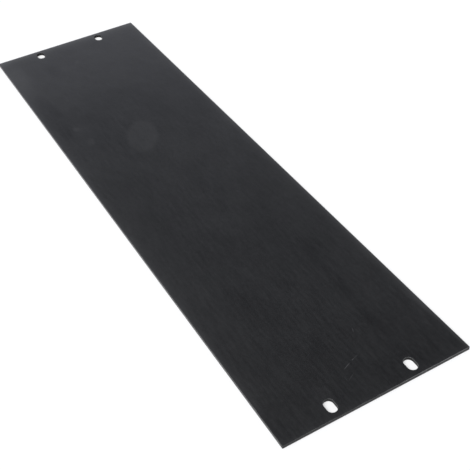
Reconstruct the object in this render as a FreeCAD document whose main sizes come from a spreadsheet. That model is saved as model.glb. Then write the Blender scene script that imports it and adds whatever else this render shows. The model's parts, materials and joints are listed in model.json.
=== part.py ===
import FreeCAD
import Part
import Sketcher
import math
import os

# Blank front panel for a 19-inch rack: one flat aluminium plate, three rack units high, with four
# mounting slots. The plate lies on its back face. X runs along the panel's length, Y along its height
# in the rack and Z out of its front face. The origin is the centre of the back face.

# Driving dimensions in millimetres: the cell's name, its value and what it measures.
SIZES = (
    ("panel_length", 482.6, "overall length, the 19 inches of the rack standard"),
    ("panel_height", 132.5, "overall height, three rack units less the gap to the next panel"),
    ("sheet_thickness", 2.5, "thickness of the sheet"),
    ("corner_radius", 0.5, "radius of the four outer corners"),
    ("slot_inset", 8.75, "slot centres from the panel's ends, so 465.1 apart along the panel"),
    ("slot_pitch_height", 57.15, "distance between slot centres up the panel"),
    ("slot_length", 10.0, "slot from end to end, along the panel"),
    ("slot_width", 6.6, "slot from side to side, the clearance of an M6 rack screw"),
    ("front_edge_radius", 0.3, "round on the front edges, left by linishing the face"),
    ("back_edge_chamfer", 0.2, "deburring chamfer on the back edges"),
)
NODE = "front_panel"
SHEET = "Sizes"


def make_sheet(doc):
    """The spreadsheet that holds the driving dimensions, one row for each."""
    sheet = doc.addObject("Spreadsheet::Sheet", SHEET)
    for row, (alias, value, meaning) in enumerate(SIZES, start=1):
        sheet.set(f"A{row}", meaning)
        sheet.set(f"B{row}", str(value))
        sheet.setAlias(f"B{row}", alias)
    doc.recompute()
    return sheet


def origin_plane(body, role):
    """One of the body's own origin planes, such as XY_Plane."""
    return next(plane for plane in body.Origin.OriginFeatures if plane.Role == role)


def new_sketch(body, name):
    """An empty sketch on the plane of the panel's back face."""
    sketch = body.newObject("Sketcher::SketchObject", name)
    sketch.AttachmentSupport = (origin_plane(body, "XY_Plane"), "")
    sketch.MapMode = "FlatFace"
    return sketch


def constrain(sketch, name, expression, kind, *points):
    """Adds a named dimension to the sketch and binds it to the sheet."""
    start_value = sketch.evalExpression(expression)
    index = sketch.addConstraint(Sketcher.Constraint(kind, *points, start_value))
    sketch.renameConstraint(index, name)
    sketch.setExpression(f"Constraints.{name}", expression)


def outline_sketch(body, sheet):
    """A rectangle centred on the origin, the outline of the plate."""
    sketch = new_sketch(body, "Outline")
    half_x = sheet.panel_length / 2
    half_y = sheet.panel_height / 2
    corners = [(-half_x, -half_y), (half_x, -half_y), (half_x, half_y), (-half_x, half_y)]
    points = [FreeCAD.Vector(x, y, 0) for x, y in corners]
    lines = [
        sketch.addGeometry(Part.LineSegment(start, end))
        for start, end in zip(points, points[1:] + points[:1])
    ]
    bottom, right, top, left = lines
    for line, following in zip(lines, lines[1:] + lines[:1]):
        sketch.addConstraint(Sketcher.Constraint("Coincident", line, 2, following, 1))
    for line in (bottom, top):
        sketch.addConstraint(Sketcher.Constraint("Horizontal", line))
    for line in (right, left):
        sketch.addConstraint(Sketcher.Constraint("Vertical", line))
    sketch.addConstraint(Sketcher.Constraint("Symmetric", bottom, 1, top, 1, -1, 1))
    constrain(sketch, "length", f"{SHEET}.panel_length", "DistanceX", bottom, 1, bottom, 2)
    constrain(sketch, "height", f"{SHEET}.panel_height", "DistanceY", right, 1, right, 2)
    return sketch


def slot_sketch(body, sheet):
    """One slot, the upper right one: two half circles joined by two lines along the panel."""
    sketch = new_sketch(body, "Slot")
    centre_x = sheet.panel_length / 2 - sheet.slot_inset
    centre_y = sheet.slot_pitch_height / 2
    radius = sheet.slot_width / 2
    half_run = (sheet.slot_length - sheet.slot_width) / 2
    up = FreeCAD.Vector(0, 0, 1)
    ends = [FreeCAD.Vector(centre_x + side * half_run, centre_y, 0) for side in (-1, 1)]
    quarter = math.pi / 2
    left_arc = sketch.addGeometry(
        Part.ArcOfCircle(Part.Circle(ends[0], up, radius), quarter, 3 * quarter)
    )
    right_arc = sketch.addGeometry(
        Part.ArcOfCircle(Part.Circle(ends[1], up, radius), -quarter, quarter)
    )
    rise = FreeCAD.Vector(0, radius, 0)
    lower_line = sketch.addGeometry(Part.LineSegment(ends[0] - rise, ends[1] - rise))
    upper_line = sketch.addGeometry(Part.LineSegment(ends[1] + rise, ends[0] + rise))
    loop = [left_arc, lower_line, right_arc, upper_line]
    for curve, following in zip(loop, loop[1:] + loop[:1]):
        sketch.addConstraint(Sketcher.Constraint("Tangent", curve, 2, following, 1))
    sketch.addConstraint(Sketcher.Constraint("Equal", left_arc, right_arc))
    sketch.addConstraint(Sketcher.Constraint("Horizontal", lower_line))
    constrain(sketch, "radius", f"{SHEET}.slot_width / 2", "Radius", left_arc)
    centre_cells = f"{SHEET}.panel_length / 2 - {SHEET}.slot_inset"
    half_run_cells = f"({SHEET}.slot_length - {SHEET}.slot_width) / 2"
    for name, arc, sign in (("left_end", left_arc, "-"), ("right_end", right_arc, "+")):
        place = f"{centre_cells} {sign} {half_run_cells}"
        constrain(sketch, name, place, "DistanceX", -1, 1, arc, 3)
    constrain(sketch, "centre_line", f"{SHEET}.slot_pitch_height / 2", "DistanceY", -1, 1, left_arc, 3)
    return sketch


def edge_names(shape, wanted):
    """The names of the shape's edges that the test picks out."""
    return [f"Edge{number}" for number, edge in enumerate(shape.Edges, start=1) if wanted(edge)]


def on_level(level):
    """A test for edges that lie in the horizontal plane at this height."""
    tolerance = 1e-6
    return lambda edge: all(
        abs(height - level) < tolerance for height in (edge.BoundBox.ZMin, edge.BoundBox.ZMax)
    )


def is_upright(edge):
    """True for an edge that runs straight through the thickness of the sheet."""
    tolerance = 1e-6
    return edge.BoundBox.ZLength > tolerance > edge.BoundBox.DiagonalLength - edge.BoundBox.ZLength


def dress_edges(body, kind, name, edges, size, cell):
    """Rounds or chamfers those edges of the body's solid, to a size from the sheet."""
    base = body.Tip
    feature = body.newObject(kind, name)
    feature.Base = (base, edges)
    feature.setExpression(size, f"{SHEET}.{cell}")
    body.Document.recompute()
    return feature


def make_plate(body, sheet):
    """The bare plate: the outline padded up from the back face, with its four corners rounded."""
    pad = body.newObject("PartDesign::Pad", "Plate")
    pad.Profile = outline_sketch(body, sheet)
    pad.setExpression("Length", f"{SHEET}.sheet_thickness")
    body.Document.recompute()
    corners = edge_names(pad.Shape, is_upright)
    dress_edges(body, "PartDesign::Fillet", "Corners", corners, "Radius", "corner_radius")


def cut_slots(body, sheet):
    """One slot cut through the plate, then mirrored across both of the panel's middle planes."""
    bare_volume = body.Shape.Volume
    cut = body.newObject("PartDesign::Pocket", "SlotCut")
    cut.Profile = slot_sketch(body, sheet)
    cut.Type = "ThroughAll"
    cut.Reversed = True
    body.Document.recompute()
    four = body.newObject("PartDesign::MultiTransform", "FourSlots")
    four.Originals = [cut]
    mirrors = []
    for name, role in (("EndToEnd", "YZ_Plane"), ("TopToBottom", "XZ_Plane")):
        mirror = body.newObject("PartDesign::Mirrored", name)
        mirror.MirrorPlane = (origin_plane(body, role), [""])
        mirrors.append(mirror)
    four.Transformations = mirrors
    body.Tip = four
    body.Document.recompute()
    straight_area = (sheet.slot_length - sheet.slot_width) * sheet.slot_width
    round_area = math.pi * sheet.slot_width ** 2 / 4
    slots_volume = 4 * (straight_area + round_area) * sheet.sheet_thickness
    if not math.isclose(bare_volume - body.Shape.Volume, slots_volume, rel_tol=1e-4):
        raise RuntimeError("the four slots don't go right through the plate")


def break_edges(body, sheet):
    """The broken edges: rounded round the front face and its slots, chamfered round the back."""
    front = edge_names(body.Shape, on_level(sheet.sheet_thickness))
    dress_edges(body, "PartDesign::Fillet", "FrontEdges", front, "Radius", "front_edge_radius")
    back = edge_names(body.Shape, on_level(0.0))
    dress_edges(body, "PartDesign::Chamfer", "BackEdges", back, "Size", "back_edge_chamfer")


def check(doc, body):
    """Stops the script if a feature failed or the body isn't one sound solid."""
    for item in doc.Objects:
        if {"Invalid", "Error"} & set(item.State):
            raise RuntimeError(f"{item.Name} failed: {item.State}")
    shape = body.Shape
    if shape.isNull() or not shape.isValid() or len(shape.Solids) != 1:
        raise RuntimeError(f"{body.Label} isn't one sound solid")


def main():
    doc = FreeCAD.newDocument("RackFrontPanel")
    sheet = make_sheet(doc)
    body = doc.addObject("PartDesign::Body", "FrontPanel")
    body.Label = NODE
    body.Placement = FreeCAD.Placement()
    make_plate(body, sheet)
    cut_slots(body, sheet)
    break_edges(body, sheet)
    check(doc, body)
    os.makedirs("parts", exist_ok=True)
    body.Shape.exportStep(os.path.join("parts", f"{body.Label}.step"))
    box = body.Shape.BoundBox
    print(f"{body.Label}: {box.XLength:.2f} x {box.YLength:.2f} x {box.ZLength:.2f} mm,")
    print(f"  volume {body.Shape.Volume:.1f} mm3, {len(body.Shape.Faces)} faces")


main()
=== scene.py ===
"""Blank rack front panel: a black anodised, brushed plate on a pale floor, under soft studio light."""
import json
import math
from functools import partial

import bmesh
import bpy
from mathutils import Matrix, Vector


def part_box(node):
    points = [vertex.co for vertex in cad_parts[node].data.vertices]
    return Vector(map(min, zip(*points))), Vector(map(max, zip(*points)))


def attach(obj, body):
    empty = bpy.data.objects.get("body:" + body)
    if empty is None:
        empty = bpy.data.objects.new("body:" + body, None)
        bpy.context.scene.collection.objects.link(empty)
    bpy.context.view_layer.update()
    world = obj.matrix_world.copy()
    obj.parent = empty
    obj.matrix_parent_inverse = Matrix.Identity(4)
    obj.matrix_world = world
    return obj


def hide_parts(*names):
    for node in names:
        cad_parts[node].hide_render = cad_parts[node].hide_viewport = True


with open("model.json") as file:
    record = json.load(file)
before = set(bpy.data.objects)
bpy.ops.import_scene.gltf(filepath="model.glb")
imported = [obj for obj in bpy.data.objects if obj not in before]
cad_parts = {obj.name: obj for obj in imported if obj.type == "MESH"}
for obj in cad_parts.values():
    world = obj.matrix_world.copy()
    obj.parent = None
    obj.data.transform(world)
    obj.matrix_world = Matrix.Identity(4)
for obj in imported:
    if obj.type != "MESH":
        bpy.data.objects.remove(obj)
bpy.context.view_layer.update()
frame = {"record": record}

MM = 0.001
QUARTER_TURN = math.pi / 2
UPWARD = Vector((0.0, 0.0, 1.0))
NODE = "front_panel"

# Sizes of the plate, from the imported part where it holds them.
low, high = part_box(NODE)
HALF_LENGTH = (high.x - low.x) / 2
HALF_HEIGHT = (high.y - low.y) / 2
THICKNESS = high.z
slot_dims = next(m["dims"] for m in frame["record"]["mounts"] if m["name"] == "rack_slots")
SLOT_X = slot_dims["spacing_x_mm"] * MM / 2
SLOT_Y = slot_dims["spacing_y_mm"] * MM / 2
SLOT_RADIUS = slot_dims["hole_r_mm"] * MM
SLOT_HALF_RUN = slot_dims["slot_length_mm"] * MM / 2 - SLOT_RADIUS
SLOT_CENTRES = [(sx * SLOT_X, sy * SLOT_Y) for sx in (-1, 1) for sy in (-1, 1)]
CORNER_RADIUS = 0.5 * MM
FRONT_EDGE_RADIUS = 0.3 * MM
BACK_EDGE_CHAMFER = 0.2 * MM

# Steps in a corner's quarter turn, in the half turn at a slot's end and in the round of the front edge.
CORNER_STEPS = 8
SLOT_STEPS = 32
ROUND_STEPS = 6
# Where the round starts in the edge's profile, after the chamfer and the wall.
ROUND_STARTS = 2

# Materials of the plate, by their place in its list.
FRONT, EDGE, BORE, RIM, BACK = range(5)

# The plate's two surface maps. The first runs with the grain. The second holds each surface once, in a
# sheet or strip of its own: left, bottom, width and height. The slots' strips stand side by side.
GRAIN_MAP = "Grain"
BAKE_MAP = "OFBake"
SHEET_LEFT = 0.005
SHEET_WIDTH = 0.99
SHEET_HEIGHT = 0.46
STRIP_HEIGHT = 0.018
SLOT_STRIP_WIDTH = 0.24
SLOT_STRIP_STEP = 0.25
FRONT_SHEET = (SHEET_LEFT, 0.53, SHEET_WIDTH, SHEET_HEIGHT)
BACK_SHEET = (SHEET_LEFT, 0.01, SHEET_WIDTH, SHEET_HEIGHT)
EDGE_STRIP = (SHEET_LEFT, 0.48, SHEET_WIDTH, STRIP_HEIGHT)
SLOT_STRIPS = [
    (SHEET_LEFT + SLOT_STRIP_STEP * number, 0.503, SLOT_STRIP_WIDTH, STRIP_HEIGHT)
    for number in range(len(SLOT_CENTRES))
]


# The plate's mesh

def arc(centre, radius, start, sweep, steps):
    """Points on a turn about a centre, its two ends included."""
    angles = [start + sweep * step / steps for step in range(steps + 1)]
    return [(centre[0] + radius * math.cos(a), centre[1] + radius * math.sin(a)) for a in angles]


def outline(inset):
    """The plate's outline, anticlockwise, drawn in by a distance."""
    radius = CORNER_RADIUS - inset
    x = HALF_LENGTH - CORNER_RADIUS
    y = HALF_HEIGHT - CORNER_RADIUS
    points = []
    for turn, centre in enumerate([(x, y), (-x, y), (-x, -y), (x, -y)]):
        points += arc(centre, radius, turn * QUARTER_TURN, QUARTER_TURN, CORNER_STEPS)
    return points


def slot_outline(centre, inset):
    """One slot's outline, anticlockwise, let out by a distance."""
    points = []
    for side, start in ((1, -QUARTER_TURN), (-1, QUARTER_TURN)):
        end = (centre[0] + side * SLOT_HALF_RUN, centre[1])
        points += arc(end, SLOT_RADIUS + inset, start, math.pi, SLOT_STEPS)
    return points


def edge_profile():
    """The edge from back to front, as distances inward and heights: chamfer, wall, round."""
    profile = [(BACK_EDGE_CHAMFER, 0.0), (0.0, BACK_EDGE_CHAMFER), (0.0, THICKNESS - FRONT_EDGE_RADIUS)]
    for step in range(1, ROUND_STEPS + 1):
        angle = QUARTER_TURN * step / ROUND_STEPS
        inward = FRONT_EDGE_RADIUS * (1 - math.cos(angle))
        height = THICKNESS - FRONT_EDGE_RADIUS * (1 - math.sin(angle))
        profile.append((inward, height))
    return profile


def shares(points):
    """How far along a line of points each of them lies, from 0 to 1."""
    lengths = [math.dist(here, after) for here, after in zip(points, points[1:])]
    return [sum(lengths[:count]) / sum(lengths) for count in range(len(points))]


def in_sheet(sheet, across, up):
    """A place in a sheet or strip of the bake map, from its shares of the width and height."""
    left, bottom, width, height = sheet
    return left + across * width, bottom + up * height


def wall(mesh, draw, outward, material, strip):
    """The edge faces round one outline, and the loops of corners where they meet the back and front."""
    bake = mesh.loops.layers.uv[BAKE_MAP]
    profile = edge_profile()
    rings = [[mesh.verts.new((x, y, height)) for x, y in draw(inset)] for inset, height in profile]
    points = draw(0.0)
    run = shares(points + points[:1])
    rise = shares(profile)
    for level, (lower, upper) in enumerate(zip(rings, rings[1:])):
        for here in range(len(points)):
            after = (here + 1) % len(points)
            spots = {
                lower[here]: (run[here], rise[level]),
                lower[after]: (run[here + 1], rise[level]),
                upper[after]: (run[here + 1], rise[level + 1]),
                upper[here]: (run[here], rise[level + 1]),
            }
            corners = list(spots)
            face = mesh.faces.new(corners if outward else corners[::-1])
            face.material_index = RIM if level >= ROUND_STARTS else material
            face.smooth = True
            for loop in face.loops:
                loop[bake].uv = in_sheet(strip, *spots[loop.vert])
    return rings[0], rings[-1]


def cap(mesh, loops, material, facing, sheet):
    """The flat face between the outline and the slots: the front, facing 1, or the back, facing -1."""
    bake = mesh.loops.layers.uv[BAKE_MAP]
    edges = [
        mesh.edges.get((loop[here - 1], loop[here]))
        for loop in loops
        for here in range(len(loop))
    ]
    made = bmesh.ops.triangle_fill(mesh, edges=edges, use_beauty=True, use_dissolve=False)
    for face in made["geom"]:
        if isinstance(face, bmesh.types.BMFace):
            face.normal_update()
            if face.normal.z * facing < 0:
                face.normal_flip()
            face.material_index = material
            for loop in face.loops:
                across = (loop.vert.co.x / HALF_LENGTH + 1) / 2
                up = (loop.vert.co.y / HALF_HEIGHT + 1) / 2
                loop[bake].uv = in_sheet(sheet, across, up)
    for edge in edges:
        edge.smooth = False


def make_plate():
    """The plate as one closed mesh, in place of the solid."""
    mesh = bmesh.new()
    for name in (GRAIN_MAP, BAKE_MAP):
        mesh.loops.layers.uv.new(name)
    grain = mesh.loops.layers.uv[GRAIN_MAP]
    loops = [wall(mesh, outline, outward=True, material=EDGE, strip=EDGE_STRIP)]
    for centre, strip in zip(SLOT_CENTRES, SLOT_STRIPS):
        draw_slot = partial(slot_outline, centre)
        loops.append(wall(mesh, draw_slot, outward=False, material=BORE, strip=strip))
    backs, fronts = zip(*loops)
    cap(mesh, fronts, FRONT, facing=1, sheet=FRONT_SHEET)
    cap(mesh, backs, BACK, facing=-1, sheet=BACK_SHEET)
    for face in mesh.faces:
        for loop in face.loops:
            loop[grain].uv = loop.vert.co.xy
    data = bpy.data.meshes.new("plate")
    mesh.to_mesh(data)
    mesh.free()
    plate = bpy.data.objects.new("plate", data)
    bpy.context.scene.collection.objects.link(plate)
    return plate


# Node helpers

class Nodes:
    """A material's node tree, with short calls for the nodes it is made of."""

    def __init__(self, material):
        material.use_nodes = True
        self.tree = material.node_tree
        self.shader = self.tree.nodes["Principled BSDF"]
        self.place = self.new("ShaderNodeTexCoord").outputs["Object"]

    def new(self, kind, **settings):
        """A new node of a kind, with its settings."""
        node = self.tree.nodes.new(kind)
        for name, value in settings.items():
            setattr(node, name, value)
        return node

    def put(self, socket, value):
        """Links an output to a socket, or sets the socket to a plain value."""
        if isinstance(value, bpy.types.NodeSocket):
            self.tree.links.new(value, socket)
        else:
            socket.default_value = value

    def math(self, operation, first, second=0.0):
        """The result of one operation on one or two values."""
        node = self.new("ShaderNodeMath", operation=operation)
        self.put(node.inputs[0], first)
        self.put(node.inputs[1], second)
        return node.outputs[0]

    def add(self, first, second):
        """Two values added up."""
        return self.math("ADD", first, second)

    def times(self, first, second):
        """Two values multiplied."""
        return self.math("MULTIPLY", first, second)

    def spread(self, pattern, middle, amount):
        """A 0 to 1 pattern turned into a factor about a middle value."""
        return self.add(self.times(pattern, 2 * amount), middle - amount)

    def noise(self, cells, detail=2.0, roughness=0.5):
        """Noise with its own cells per metre along each axis, which draws its grains out."""
        mapping = self.new("ShaderNodeMapping")
        self.put(mapping.inputs["Vector"], self.place)
        mapping.inputs["Scale"].default_value = cells
        node = self.new("ShaderNodeTexNoise")
        self.put(node.inputs["Vector"], mapping.outputs[0])
        node.inputs["Scale"].default_value = 1.0
        node.inputs["Detail"].default_value = detail
        node.inputs["Roughness"].default_value = roughness
        return node.outputs[0]

    def patch(self, centre, size, angle, core):
        """A soft oval on the front face, 1 inside its core and 0 outside: mm and degrees."""
        mapping = self.new("ShaderNodeMapping", vector_type="TEXTURE")
        self.put(mapping.inputs["Vector"], self.place)
        mapping.inputs["Location"].default_value = (centre[0] * MM, centre[1] * MM, THICKNESS)
        mapping.inputs["Rotation"].default_value = (0.0, 0.0, math.radians(angle))
        mapping.inputs["Scale"].default_value = (size[0] * MM / 2, size[1] * MM / 2, 1.0)
        length = self.new("ShaderNodeVectorMath", operation="LENGTH")
        self.put(length.inputs[0], mapping.outputs[0])
        fade = self.new("ShaderNodeMapRange", interpolation_type="SMOOTHSTEP")
        self.put(fade.inputs["Value"], length.outputs["Value"])
        fade.inputs["From Min"].default_value = core
        fade.inputs["To Min"].default_value = 1.0
        fade.inputs["To Max"].default_value = 0.0
        return fade.outputs[0]

    def painted_edge_sheen(self, axis, side, reach):
        """A painted sheen that dies away inward from one edge of the plate: 1 at the edge, over a reach
        in mm.
        """
        split = self.new("ShaderNodeSeparateXYZ")
        self.put(split.inputs[0], self.place)
        half = HALF_LENGTH if axis == "X" else HALF_HEIGHT
        distance = self.math("SUBTRACT", half, self.times(split.outputs[axis], side))
        return self.math("EXPONENT", self.times(distance, -1.0 / (reach * MM)))

    def tinted(self, level, tint):
        """A colour from a level and a tint."""
        mix = self.new("ShaderNodeVectorMath", operation="SCALE")
        mix.inputs[0].default_value = tint
        self.put(mix.inputs["Scale"], level)
        return mix.outputs[0]

    def bump(self, *reliefs):
        """A relief on the surface: patterns and their depths in mm, added up."""
        height = 0.0
        for pattern, depth in reliefs:
            height = self.add(self.times(pattern, depth * MM), height)
        node = self.new("ShaderNodeBump")
        node.inputs["Distance"].default_value = 1.0
        self.put(node.inputs["Height"], height)
        self.put(self.shader.inputs["Normal"], node.outputs[0])

    def grain_tangent(self):
        """The direction of the brushing, from the map that runs with the grain."""
        node = self.new("ShaderNodeTangent", direction_type="UV_MAP", uv_map=GRAIN_MAP)
        self.put(self.shader.inputs["Tangent"], node.outputs[0])


# Materials

# The finish: its tint, how black it is on the front and on the back, and the darkest that a mark makes
# the front.
TINT = (0.98, 0.985, 0.985)
BLACK = 0.0085
BACK_BLACK = 0.013
DARKEST = 0.002
# Depths of the reliefs, in mm.
HAIRLINE_DEPTH = 0.003
WAVE_DEPTH = 0.18
CUTTER_DEPTH = 0.004
WEAR_DEPTH = 0.002
PORE_DEPTH = 0.001
ROLLING_DEPTH = 0.004
# Wear and painted highlight of the front edges: how pale they make it all round, and how much paler the
# painted highlight makes the stretch at the near end, whose centre and size are in mm.
RIM_WEAR_AND_SHEEN = 0.12
RIM_EXTRA_SHEEN = 0.22
RIM_SHEEN_AT = (HALF_LENGTH / MM, 42.0)
RIM_SHEEN_SIZE = (16.0, 84.0)
# Painted sheen along the front face's edges, as lighter borders: the axis and side of the edge, reach in
# mm and strength.
PAINTED_EDGE_SHEENS = (
    ("X", -1, 4.0, 0.056),
    ("X", 1, 2.2, 0.006),
    ("Y", 1, 2.2, 0.034),
    ("Y", -1, 2.2, 0.015),
    ("Y", -1, 15.0, 0.006),
)
# Faint patches of painted reflection and painted shade on the front face, lighter or darker: centre and
# size in mm, turn in degrees, core and strength.
PAINTED_SHEEN_AND_SHADE = (
    ((-65.8, -4.8), (49.8, 29.4), -20.0, 0.68, 0.0085),
    ((-104.0, -46.3), (10.0, 7.0), 20.0, 0.2, 0.0100),
    ((-81.0, -43.0), (14.0, 9.0), -15.0, 0.2, 0.0100),
    ((-203.0, -5.3), (9.0, 7.0), 0.0, 0.1, 0.0080),
    ((-205.0, -59.0), (80.0, 26.0), 0.0, 0.1, 0.0120),
    ((-170.0, -17.0), (32.0, 14.0), -20.0, 0.1, 0.0025),
    ((-28.0, 50.0), (28.0, 18.0), 0.0, 0.1, 0.0030),
    ((164.0, -53.6), (12.0, 10.0), 30.0, 0.1, 0.0030),
    ((202.0, -40.0), (26.0, 12.0), 5.0, 0.1, 0.0025),
    ((120.0, -50.0), (220.0, 44.0), 0.0, 0.0, 0.0018),
    ((-200.0, -29.0), (44.0, 16.0), 0.0, 0.1, -0.0055),
    ((-128.0, -57.0), (104.0, 28.0), 0.0, 0.3, -0.0075),
    ((-100.0, 5.0), (150.0, 200.0), 0.0, 0.3, -0.0036),
    ((105.0, 30.0), (140.0, 46.0), 0.0, 0.1, -0.0022),
    ((165.0, 31.0), (150.0, 11.0), -1.0, 0.2, -0.0022),
    ((238.0, 38.0), (120.0, 130.0), 0.0, 0.1, -0.0034),
    ((228.0, 64.0), (70.0, 14.0), 0.0, 0.2, -0.0060),
    ((232.0, -63.0), (88.0, 34.0), 0.0, 0.0, -0.0038),
    ((232.0, -67.0), (100.0, 13.0), 0.0, 0.1, -0.0075),
)
# Fine scratches, in the same terms.
SCRATCHES = (
    ((214.1, -3.9), (8.5, 0.7), 113.0, 0.3, 0.0420),
    ((211.8, 1.8), (2.4, 0.8), 108.0, 0.3, 0.0450),
    ((210.9, 4.6), (6.0, 1.2), 108.0, 0.2, 0.0130),
    ((222.1, -6.6), (9.5, 0.5), 118.0, 0.2, 0.0250),
    ((221.8, -10.1), (6.0, 0.5), 174.0, 0.2, 0.0180),
    ((192.9, 15.4), (4.5, 0.7), 156.0, 0.2, 0.0300),
)


def front_material():
    """Black anodised face, brushed from end to end, with clouds, painted patches of reflection and
    shade, scratches and painted sheen along its borders.
    """
    material = bpy.data.materials.new("front_brushed_black")
    nodes = Nodes(material)
    shader = nodes.shader
    hairlines = nodes.noise(cells=(55.0, 480.0, 1.0), detail=3.0, roughness=0.6)
    speckle = nodes.noise(cells=(310.0, 430.0, 1.0))
    clouds = nodes.noise(cells=(24.0, 40.0, 1.0), detail=3.0)
    waves = nodes.noise(cells=(45.0, 70.0, 1.0), detail=3.0)
    level = nodes.times(nodes.spread(hairlines, middle=1.0, amount=0.6), BLACK)
    level = nodes.times(level, nodes.spread(speckle, middle=1.0, amount=0.6))
    level = nodes.times(level, nodes.spread(clouds, middle=1.0, amount=0.34))
    # Painted sheen along the edges, added to the colour.
    for axis, side, reach, strength in PAINTED_EDGE_SHEENS:
        level = nodes.add(level, nodes.times(nodes.painted_edge_sheen(axis, side, reach), strength))
    # Patches of painted reflection and shade, and the real scratches.
    for centre, size, angle, core, strength in PAINTED_SHEEN_AND_SHADE + SCRATCHES:
        level = nodes.add(level, nodes.times(nodes.patch(centre, size, angle, core), strength))
    level = nodes.math("MAXIMUM", level, DARKEST)
    nodes.put(shader.inputs["Base Color"], nodes.tinted(level, TINT))
    along_lines = nodes.spread(hairlines, middle=0.36, amount=0.08)
    in_clouds = nodes.spread(clouds, middle=0.0, amount=0.05)
    nodes.put(shader.inputs["Roughness"], nodes.add(along_lines, in_clouds))
    shader.inputs["Anisotropic"].default_value = 0.6
    shader.inputs["Anisotropic Rotation"].default_value = 0.25
    nodes.grain_tangent()
    nodes.bump((hairlines, HAIRLINE_DEPTH), (waves, WAVE_DEPTH))
    return material


def cut_material(name, black, roughness, specular):
    """A cut surface: the same black over the fine lines that the cutter leaves round it."""
    material = bpy.data.materials.new(name)
    nodes = Nodes(material)
    shader = nodes.shader
    lines = nodes.noise(cells=(40.0, 40.0, 3000.0))
    patches = nodes.noise(cells=(60.0, 60.0, 200.0))
    level = nodes.times(nodes.spread(lines, middle=1.0, amount=0.5), black)
    level = nodes.times(level, nodes.spread(patches, middle=1.0, amount=0.5))
    nodes.put(shader.inputs["Base Color"], nodes.tinted(level, TINT))
    nodes.put(shader.inputs["Roughness"], nodes.spread(patches, middle=roughness, amount=0.1))
    shader.inputs["Specular IOR Level"].default_value = specular
    nodes.bump((lines, CUTTER_DEPTH))
    return material


def rim_material():
    """The rounded front edges, where handling has worn the black thin, with a painted highlight along
    them that is strongest on a stretch of the near end.
    """
    material = bpy.data.materials.new("rim_worn_black_and_sheen")
    nodes = Nodes(material)
    shader = nodes.shader
    wear = nodes.noise(cells=(120.0, 120.0, 120.0), detail=4.0, roughness=0.65)
    # Wear and a painted highlight: pale all round, paler on the near end's stretch.
    rim_sheen = nodes.patch(RIM_SHEEN_AT, RIM_SHEEN_SIZE, angle=0.0, core=0.35)
    wear_and_sheen = nodes.add(nodes.times(rim_sheen, RIM_EXTRA_SHEEN), RIM_WEAR_AND_SHEEN)
    level = nodes.times(nodes.math("POWER", wear, 2.0), wear_and_sheen)
    nodes.put(shader.inputs["Base Color"], nodes.tinted(level, TINT))
    nodes.put(shader.inputs["Roughness"], nodes.spread(wear, middle=0.38, amount=0.12))
    nodes.bump((wear, WEAR_DEPTH))
    return material


def back_material():
    """The back: plain rolled sheet, anodised black too, with faint rolling lines and no brushing."""
    material = bpy.data.materials.new("back_satin_black")
    nodes = Nodes(material)
    shader = nodes.shader
    rolling = nodes.noise(cells=(6.0, 420.0, 1.0), detail=3.0)
    pores = nodes.noise(cells=(1800.0, 1800.0, 1.0))
    clouds = nodes.noise(cells=(12.0, 20.0, 1.0))
    level = nodes.times(nodes.spread(rolling, middle=1.0, amount=0.9), BACK_BLACK)
    level = nodes.times(level, nodes.spread(clouds, middle=1.0, amount=0.6))
    nodes.put(shader.inputs["Base Color"], nodes.tinted(level, TINT))
    in_clouds = nodes.spread(clouds, middle=0.46, amount=0.12)
    along_lines = nodes.spread(rolling, middle=0.0, amount=0.08)
    nodes.put(shader.inputs["Roughness"], nodes.add(in_clouds, along_lines))
    nodes.bump((pores, PORE_DEPTH), (rolling, ROLLING_DEPTH))
    return material


# The studio

# The floor is a wide light table: half its width in metres, its white, how much that varies, its glow,
# which keeps the shade round the plate and in its slots faint, and its tint.
FLOOR_REACH = 20.0
FLOOR_WHITE = 0.43
FLOOR_VARIATION = 0.01
FLOOR_GLOW = 0.55
FLOOR_TINT = (1.0, 1.0, 1.0)


def make_floor():
    """A wide, pale, matt floor that glows a little, for the plate to lie on."""
    mesh = bmesh.new()
    bmesh.ops.create_grid(mesh, x_segments=1, y_segments=1, size=FLOOR_REACH)
    data = bpy.data.meshes.new("floor")
    mesh.to_mesh(data)
    mesh.free()
    floor = bpy.data.objects.new("floor", data)
    bpy.context.scene.collection.objects.link(floor)
    material = bpy.data.materials.new("floor_white")
    nodes = Nodes(material)
    shader = nodes.shader
    paper = nodes.noise(cells=(90.0, 90.0, 90.0), detail=3.0)
    level = nodes.spread(paper, middle=FLOOR_WHITE, amount=FLOOR_VARIATION)
    nodes.put(shader.inputs["Base Color"], nodes.tinted(level, FLOOR_TINT))
    shader.inputs["Roughness"].default_value = 0.9
    shader.inputs["Specular IOR Level"].default_value = 0.1
    shader.inputs["Emission Color"].default_value = (*FLOOR_TINT, 1.0)
    shader.inputs["Emission Strength"].default_value = FLOOR_GLOW
    data.materials.append(material)


# Brightness of the studio round the plate: height of the direction (sine of its elevation) and level.
SKY = (
    (0.0, 1.35),
    (0.25, 1.35),
    (0.4, 0.68),
    (0.48, 0.36),
    (0.56, 0.172),
    (0.66, 0.256),
    (0.8, 0.18),
    (1.0, 0.135),
)
SKY_TINT = (0.94, 0.97, 1.09)
# Where a new stop of the gradient is put before it is moved to its own height.
NEW_STOP = 0.5


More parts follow.
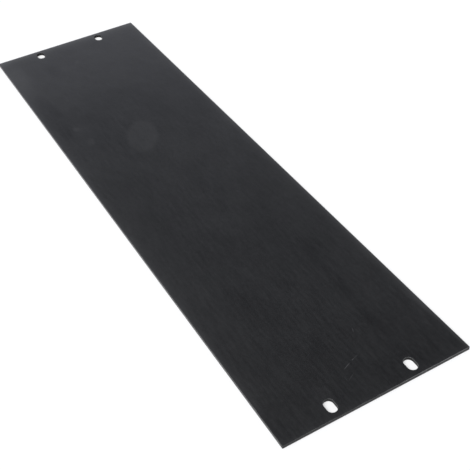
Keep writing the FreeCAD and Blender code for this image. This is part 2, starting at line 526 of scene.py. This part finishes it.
def make_sky():
    """A soft studio all round: pale walls low down, a darker ceiling overhead."""
    world = bpy.data.worlds.new("studio")
    bpy.context.scene.world = world
    world.use_nodes = True
    tree = world.node_tree
    background = tree.nodes["Background"]
    place = tree.nodes.new("ShaderNodeTexCoord")
    split = tree.nodes.new("ShaderNodeSeparateXYZ")
    ramp = tree.nodes.new("ShaderNodeValToRGB")
    tree.links.new(place.outputs["Generated"], split.inputs[0])
    tree.links.new(split.outputs["Z"], ramp.inputs["Fac"])
    stops = ramp.color_ramp.elements
    while len(stops) < len(SKY):
        stops.new(NEW_STOP)
    for stop, (position, level) in zip(stops, SKY):
        stop.position = position
        stop.color = [level * share for share in SKY_TINT] + [1.0]
    tree.links.new(ramp.outputs["Color"], background.inputs["Color"])
    background.inputs["Strength"].default_value = 1.0


# The key light, broad and soft, from high on the plate's left: where it comes from, how wide it looks
# and how strong it is.
KEY_FROM = Vector((0.09, -0.59, 0.8))
KEY_WIDTH = math.radians(40.0)
KEY_STRENGTH = 3.1


def make_key():
    """The soft light, the same all over the floor."""
    data = bpy.data.lights.new("key", "SUN")
    data.angle = KEY_WIDTH
    data.energy = KEY_STRENGTH
    light = bpy.data.objects.new("key", data)
    light.location = KEY_FROM
    light.rotation_euler = (-KEY_FROM).to_track_quat("-Z", "Y").to_euler()
    bpy.context.scene.collection.objects.link(light)


# The camera: its place, the point on the front face that it looks at, its roll, its lens and sensor in
# mm, and the nearest and farthest that it sees in metres.
CAMERA_AT = Vector((480.0, -209.4, 410.4)) * MM
CAMERA_AIM = Vector((77.78, -1.88, 2.5)) * MM
CAMERA_ROLL = math.radians(-3.982)
CAMERA_LENS = 67.233
CAMERA_SENSOR = 36.0
CAMERA_NEAREST = 0.01
CAMERA_FARTHEST = 50.0


def make_camera():
    """The camera, off the near end of the plate and above it."""
    data = bpy.data.cameras.new("camera")
    data.sensor_width = CAMERA_SENSOR
    data.lens = CAMERA_LENS
    data.clip_start = CAMERA_NEAREST
    data.clip_end = CAMERA_FARTHEST
    camera = bpy.data.objects.new("camera", data)
    bpy.context.scene.collection.objects.link(camera)
    forward = (CAMERA_AIM - CAMERA_AT).normalized()
    level = forward.cross(UPWARD).normalized()
    upright = level.cross(forward)
    right = level * math.cos(CAMERA_ROLL) + upright * math.sin(CAMERA_ROLL)
    up = right.cross(forward)
    turn = Matrix((right, up, -forward)).transposed()
    camera.matrix_world = Matrix.Translation(CAMERA_AT) @ turn.to_4x4()
    bpy.context.scene.camera = camera


# The whole scene

plate = make_plate()
materials = {
    FRONT: front_material(),
    EDGE: cut_material("edge_satin_black", black=0.004, roughness=0.25, specular=0.155),
    BORE: cut_material("slot_satin_black", black=0.005, roughness=0.5, specular=0.22),
    RIM: rim_material(),
    BACK: back_material(),
}
for place in sorted(materials):
    plate.data.materials.append(materials[place])
smoothing = plate.modifiers.new("even_normals", "WEIGHTED_NORMAL")
smoothing.keep_sharp = True
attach(plate, "root")
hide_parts(NODE)

make_floor()
make_sky()
make_key()
make_camera()
bpy.context.scene.view_settings.view_transform = "Standard"
